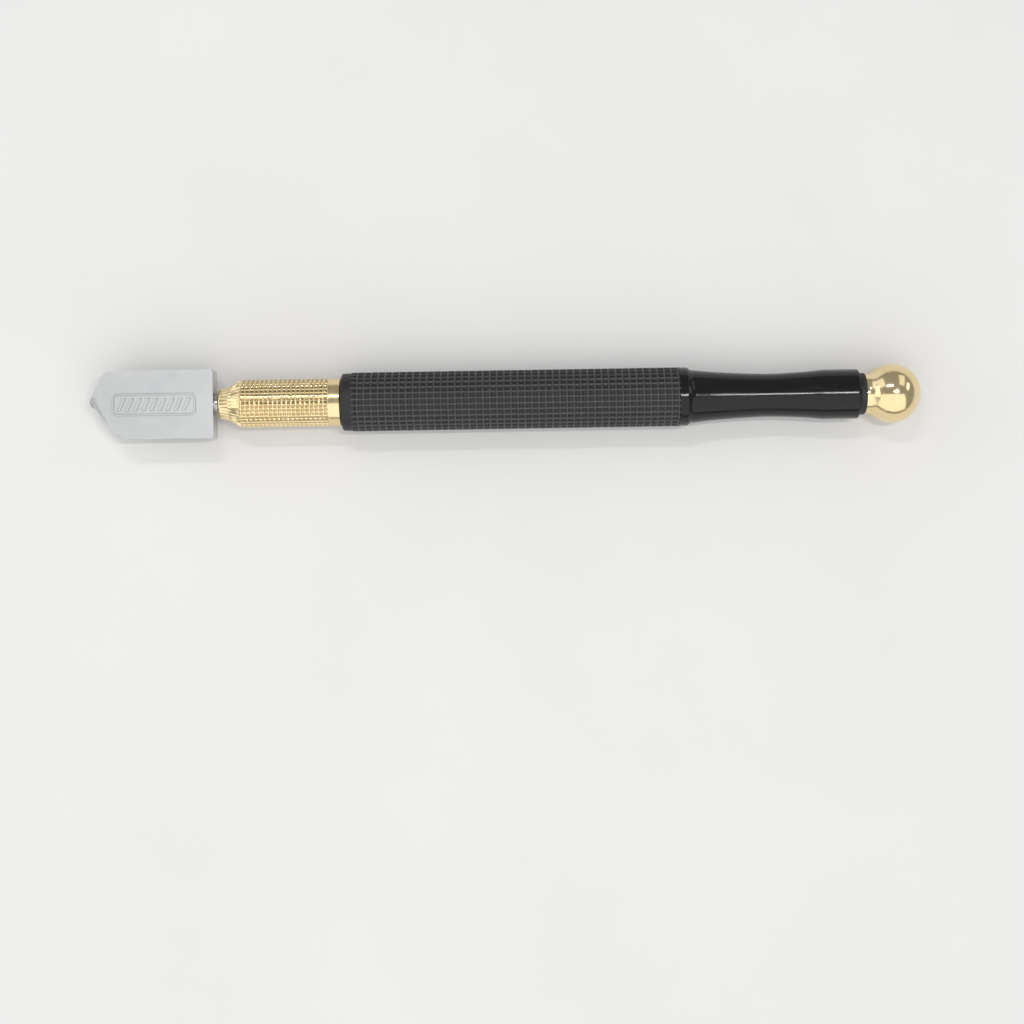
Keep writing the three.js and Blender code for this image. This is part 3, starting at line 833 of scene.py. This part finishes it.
def plate():
    """The head's blank: outline with softened corners and rounded upper and lower edges."""
    outline = soften(HEAD_OUTLINE, 0.35, 4)[:-1]
    half = HEAD_HALF
    vertices, faces = prism(outline, -half, half)
    work = bmesh.new()
    made = [work.verts.new(v) for v in vertices]
    for face in faces:
        work.faces.new([made[i] for i in face])
    rim = [e for e in work.edges if abs(e.verts[0].co.z - e.verts[1].co.z) < 1e-6]
    bmesh.ops.bevel(work, geom=rim, offset=EDGE_ROUND, segments=3, profile=0.5, affect="EDGES")
    bmesh.ops.remove_doubles(work, verts=work.verts, dist=0.002)
    bmesh.ops.recalc_face_normals(work, faces=work.faces)
    mesh = bpy.data.meshes.new("plate")
    work.to_mesh(mesh)
    work.free()
    return bpy.data.objects.new("plate", mesh)


def relief_wedge(side):
    """Slopes the upper (1) or lower (-1) face down to the nose from a line across it."""
    reach = 3.0
    drop = RELIEF_SLOPE * reach
    outline = [(0, HEAD_HALF), (-reach, HEAD_HALF + 1), (-reach, HEAD_HALF - drop)]
    vertices, faces = prism(outline, -10, 10)
    lean = Matrix.Rotation(RELIEF_SKEW, 3, "Z")
    start = Vector((*RELIEF_START, 0))
    return [tuple(start + lean @ Vector((x, -side * y, side * z))) for x, z, y in vertices], faces


def ring_bar(loops):
    """Joins closed loops, given in order round a section, into one watertight ring."""
    n = len(loops[0])
    vertices = [v for loop in loops for v in loop]
    faces = []
    for i in range(len(loops)):
        a, b = i * n, (i + 1) % len(loops) * n
        faces += [(a + j, a + (j + 1) % n, b + (j + 1) % n, b + j) for j in range(n)]
    return vertices, faces


def rounded_rectangle(x, half_x, half_y, radius, z):
    out = []
    for sx, sy, start in ((1, 1, 0), (-1, 1, 90), (-1, -1, 180), (1, -1, 270)):
        centre = (x + sx * (half_x - radius), sy * (half_y - radius))
        out += [(a, b, z) for a, b in arc(centre, (radius, radius), start, start + 90, 8)]
    return out


def band_frame():
    """The raised line round the band, in six loops up its outer side and down its inner one."""
    root, face, crest = HEAD_HALF - BAND_ROOT, HEAD_HALF, HEAD_HALF + BAND["rise"]
    line = BAND["line"]
    section = [(0, root), (0, face), (BAND_DRAFT, crest)]
    section += [(line - BAND_DRAFT, crest), (line, face), (line, root)]
    return ring_bar([inset_loop(inset, z) for inset, z in section])


def inset_loop(inset, z):
    return rounded_rectangle(
        BAND["x"], BAND["half_x"] - inset, BAND["half_y"] - inset, BAND["round"] - inset, z
    )


def slanted_rib(x, half_x, half_y, lean):
    """A raised bar across the band, leaning towards the tail."""
    corners = [(-half_x, -half_y, -1), (half_x, -half_y, 1)]
    corners += [(half_x, half_y, 1), (-half_x, half_y, -1)]
    levels = ((HEAD_HALF - BAND_ROOT, 0), (HEAD_HALF, 0), (HEAD_HALF + BAND["rise"], BAND_DRAFT))
    vertices = []
    for z, inset in levels:
        for a, b, side in corners:
            y = b - math.copysign(inset, b)
            vertices.append((x + a - side * inset + lean * y, y, z))
    faces = [(3, 2, 1, 0)]
    for level in (0, 4):
        for i in range(4):
            a, b = level + i, level + (i + 1) % 4
            faces.append((a, b, b + 4, a + 4))
    faces.append((8, 9, 10, 11))
    return vertices, faces


def head_mesh():
    slot_outline = [(-1, -20), (SLOT_FLOOR, -20), (SLOT_FLOOR, 20), (-1, 20)]
    tools = [
        ("DIFFERENCE", *rod(19.7, HEAD_REAR + 1, 1.98)),
        ("DIFFERENCE", *rod(SLOT_FLOOR - 1, 20.7, 0.8, 40)),
        ("DIFFERENCE", *prism(slot_outline, -0.65, 0.65)),
        ("DIFFERENCE", *upright(WHEEL_X, WHEEL_Y, axle_hole_profile())),
        ("DIFFERENCE", *upright(LOCK_X, 0, lock_hole_profile())),
        ("DIFFERENCE", *relief_wedge(1)),
        ("DIFFERENCE", *relief_wedge(-1)),
        ("UNION", *band_frame()),
    ]
    for k in range(RIB_COUNT):
        x = BAND["x"] + (k - RIB_COUNT // 2) * RIB_PITCH
        tools.append(("UNION", *slanted_rib(x, 0.38, 1.35, 0.45)))
    mesh = combine(plate(), tools)
    mesh.transform(TOOL)
    return mesh


def axle_hole_profile():
    end = HEAD_HALF + 1
    return [(-end, 0), (-end, AXLE_RADIUS + 0.05), (end, AXLE_RADIUS + 0.05), (end, 0)]


def lock_hole_profile():
    half = HEAD_HALF
    return [(-half - 1, 0), (-half - 1, 1.55), (-half, 1.55), (-half + 0.25, 1.3), (0, 1.3), (0, 0)]


# a low sharp angle, so that the flat faces stay flat up to their rounded edges
add_piece("head_plate", head_mesh(), [SATIN_ZINC], "head", ["head_casting"], 12)


def stood_up(x, y):
    """Carries a piece turned about x to an upright axis at x, y."""
    return Matrix.Translation((x, y, 0)) @ Matrix.Rotation(math.radians(-90), 4, "Y")


# the axle's ends are dressed down with the head's sloping faces, and plated with it
axle_end = HEAD_HALF - 0.08
axle_bar = [(-axle_end, 0), (-axle_end, AXLE_RADIUS), (axle_end, AXLE_RADIUS), (axle_end, 0)]
axle_bar = solid_of("axle", *upright(WHEEL_X, WHEEL_Y, axle_bar))
axle_mesh = combine(axle_bar, [("DIFFERENCE", *relief_wedge(side)) for side in (1, -1)])
axle_mesh.transform(TOOL)
add_piece("wheel_axle_pin", axle_mesh, [SATIN_ZINC], "head", ["wheel_axle"])

wheel = [(-0.55, 0.58), (-0.55, 1.0), (-0.53, 1.03), (-0.30, 1.30), (-0.012, WHEEL_RADIUS)]
wheel = [*wheel, *[(-x, r) for x, r in reversed(wheel)], wheel[0]]
upright_wheel = stood_up(WHEEL_X, WHEEL_Y)
add_turned(
    "wheel_disc", wheel, 128, CARBIDE, "wheel", "cutting_wheel", to_tool=upright_wheel
)

screw_face = -(HEAD_HALF - 0.05)
screw = [(screw_face, 0.0), (screw_face, 0.95), (screw_face + 0.18, 1.12)]
screw += refine([(screw_face + 0.18, 1.10), (-2.12, 1.10)], 0.05)[1:]
screw += [(-2.05, 1.0), (-2.05, 0.75), (-1.6, 0.75), (-1.5, 0.62), (-1.5, 0.0)]
screw_thread = thread_relief(screw_face + 0.15, -2.12, 0.45, 0.10)


def screw_relief(x, r, angle):
    added = screw_thread(x, r, angle)[0]
    return np.where((r > 1.09) & (r < 1.11), added, 0), 0 * added


blank = solid_of("blank", *turned(screw, even_columns(64), screw_relief)[:2])
slot_ends = (screw_face - 1, screw_face + 0.45)
driver_slot = [(slot_ends[0], -4), (slot_ends[1], -4), (slot_ends[1], 4), (slot_ends[0], 4)]
driver_slot = prism(driver_slot, -0.25, 0.25)
screw_mesh = combine(blank, [("DIFFERENCE", *driver_slot)])
screw_mesh.transform(TOOL @ stood_up(LOCK_X, 0))
add_piece("lock_screw_grub", screw_mesh, [STEEL], "lock_screw", ["lock_screw"])


# ---------------------------------------------------------------- filler cap

gasket = soften(tube(166.5, 167.8, 3.6, 4.5), 0.22, 4)
add_turned("cap_gasket_ring", gasket, 96, RUBBER, "gasket", "cap_gasket")
ring = round_ring(159.15, 2.45, 3.2)
add_turned("cap_seal_ring", ring, 72, RUBBER, "cap", "cap_spigot_o_ring")

SPIGOT_TIP_RADIUS = 2.95
SHANK_RADIUS = 3.32
NECK_X = 167.85
ball = [(CAP_TIP, 0.0), (CAP_TIP, 2.65), (CAP_TIP + 0.3, SPIGOT_TIP_RADIUS)]
ball += [(158.6, SPIGOT_TIP_RADIUS), (158.6, 2.4), (159.7, 2.4), (159.7, SPIGOT_TIP_RADIUS)]
ball += [(161.1, SPIGOT_TIP_RADIUS)]
ball += refine([(161.4, SHANK_RADIUS), (167.55, SHANK_RADIUS)], 0.13)
ball += [(NECK_X, SHANK_RADIUS), (NECK_X, 4.22), (167.91, 4.28)]
BALL_X = 173.9
BALL_RADII = (CAP_END - BALL_X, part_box("ball_cap")[HIGH][Y] / MM)
ball_arc = arc((BALL_X, 0), BALL_RADII, 108, 3, 64)
flare = [(167.91, 4.28), (168.5, 4.3), (169.2, 4.58), (170.5, 5.42), (171.4, 5.88), ball_arc[0]]
ball += through(flare, 0.15)[1:-1]
ball += [*ball_arc, (CAP_END, 0.0)]
# the thread stops short of the gasket, which sits on a plain stretch of the shank
cap_thread = thread_relief(161.5, station("cap_gasket", LOW) - 0.15, 1.0, 0.28)


def cap_relief(x, r, angle):
    added = cap_thread(x, r, angle)[0]
    return np.where((np.abs(r - SHANK_RADIUS) < 0.01) & (x > 161.45), added, 0), 0 * added


add_turned(
    "ball_cap_turned", ball, 128, POLISHED_BRASS, "cap", "ball_cap", cap_relief
)


# ---------------------------------------------------------------- floor, light and camera


def link(name, data):
    made = bpy.data.objects.new(name, data)
    bpy.context.scene.collection.objects.link(made)
    return made


def add_floor():
    mesh = bpy.data.meshes.new("floor")
    reach = 2.0
    corners = [(-reach, -reach, 0), (reach, -reach, 0), (reach, reach, 0), (-reach, reach, 0)]
    mesh.from_pydata(corners, [], [(0, 1, 2, 3)])
    mesh.materials.append(floor_look())
    floor = link("floor", mesh)


def area_light(name, from_zenith_degrees, along_degrees, distance, size, power, shift=0.0):
    """A soft light that faces the tool, tipped from the zenith towards +y and slid along x."""
    data = bpy.data.lights.new(name, "AREA")
    data.shape = "RECTANGLE"
    data.size, data.size_y = size
    data.energy = power
    lamp = link(name, data)
    tip = Matrix.Rotation(math.radians(-from_zenith_degrees), 4, "X")
    slide = Matrix.Rotation(math.radians(along_degrees), 4, "Y")
    lamp.matrix_world = tip @ slide @ Matrix.Translation((shift, 0, distance))


add_floor()
area_light("barrel_strip", 27.5, 0, 0.75, (0.26, 0.028), 0.70, shift=-0.13)
area_light("tail_strip", 3, 0, 0.70, (0.20, 0.022), 1.0, shift=0.150)
area_light("front_softbox", -43, 0, 0.70, (1.6, 1.02), 4.7)
area_light("wheel_end_box", 12, -62, 0.60, (0.30, 0.50), 0.6)
for side, name in ((-1, "upper_left_glint"), (1, "upper_right_glint")):
    area_light(name, 52, side * 36, 0.65, (0.22, 0.45), 0.22)
area_light("cap_end_box", 35, 60, 0.60, (0.10, 0.22), 0.12)

world = bpy.data.worlds.new("studio")
bpy.context.scene.world = world
world.use_nodes = True
world.node_tree.nodes["Background"].inputs["Color"].default_value = (0.95, 0.97, 1.0, 1)
world.node_tree.nodes["Background"].inputs["Strength"].default_value = 0.35

CAMERA_HEIGHT = 0.4
VIEW_WIDTH = 0.2221
SENSOR_MM = 36.0
ROLL_DEGREES = -0.945
camera_data = bpy.data.cameras.new("camera")
camera_data.sensor_width = SENSOR_MM
camera_data.lens = SENSOR_MM * CAMERA_HEIGHT / VIEW_WIDTH
camera_data.clip_start = 0.01
camera = link("camera", camera_data)
camera.location = (0.0011, -0.0244, AXIS_Z + CAMERA_HEIGHT)
camera.rotation_euler = (0, 0, math.radians(ROLL_DEGREES))
bpy.context.scene.camera = camera
bpy.context.scene.view_settings.view_transform = "Standard"
